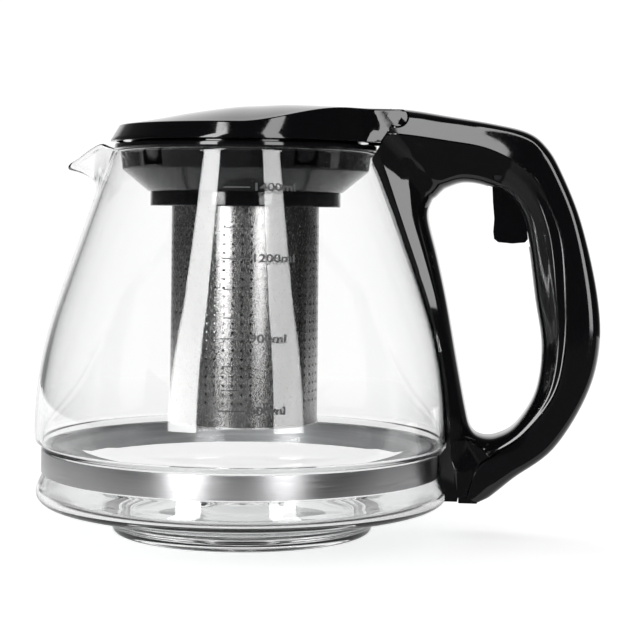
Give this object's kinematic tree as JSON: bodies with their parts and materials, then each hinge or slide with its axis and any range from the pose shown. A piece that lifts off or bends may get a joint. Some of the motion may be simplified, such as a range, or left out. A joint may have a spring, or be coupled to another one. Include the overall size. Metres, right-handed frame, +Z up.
{
  "type": "glass teapot",
  "caption": "Round glass teapot with a drooping spout, steel waist band, black handle, perforated steel strainer and a hinged lid that a finger lever in the handle opens.",
  "frame": {"origin": "centre of the glass foot on the table plane", "axes": "+Z up along the pot's axis, +X from the pot to the handle, -X to the spout"},
  "size_m": [0.1899, 0.1404, 0.1435],
  "materials": {
    "glass": "clear polished",
    "band_steel": "polished with a light brushed grain",
    "strainer_steel": "bright perforated sheet",
    "fastener_steel": "plain bright steel",
    "black_plastic": "high gloss black"
  },
  "bodies": {
    "pot": {"glass_body": "glass", "steel_band": "band_steel", "band_screw": "fastener_steel", "band_nut": "fastener_steel", "infuser_collar": "black_plastic", "infuser_ring": "black_plastic", "strainer_sleeve": "strainer_steel", "strainer_base": "strainer_steel", "handle_liner": "black_plastic", "handle_shell": "black_plastic", "shell_screws": "fastener_steel", "lid_pin": "fastener_steel", "trigger_pin": "fastener_steel"},
    "lid": {"lid_cover": "black_plastic", "lid_liner": "black_plastic", "lid_screws": "fastener_steel"},
    "lever": {"trigger": "black_plastic", "trigger_spring": "fastener_steel"},
    "rod": {"push_rod": "fastener_steel"}
  },
  "joints": [
    {"name": "lid_hinge", "type": "hinge", "parent": "pot", "child": "lid", "pos_m": [0.05246, 0, 0.13915], "axis": [0, 1, 0], "range_deg": [0, 72]},
    {"name": "lever_pivot", "type": "hinge", "parent": "pot", "child": "lever", "pos_m": [0.08521, 0, 0.11981], "axis": [0, -1, 0], "range_deg": [0, 24], "stiffness_Nm_per_rad": 0.05, "springref_deg": -11.46, "deforming": ["trigger_spring"]},
    {"name": "rod_slide", "type": "slide", "parent": "pot", "child": "rod", "axis": [-0.9969, 0, 0.0785], "range_m": [0, 0.00531]}
  ],
  "couplings": [
    {"joint": "lever_pivot", "follows": "lid_hinge", "ratio": 0.33333},
    {"joint": "rod_slide", "follows": "lid_hinge", "m_per_rad": 0.0042237}
  ]
}
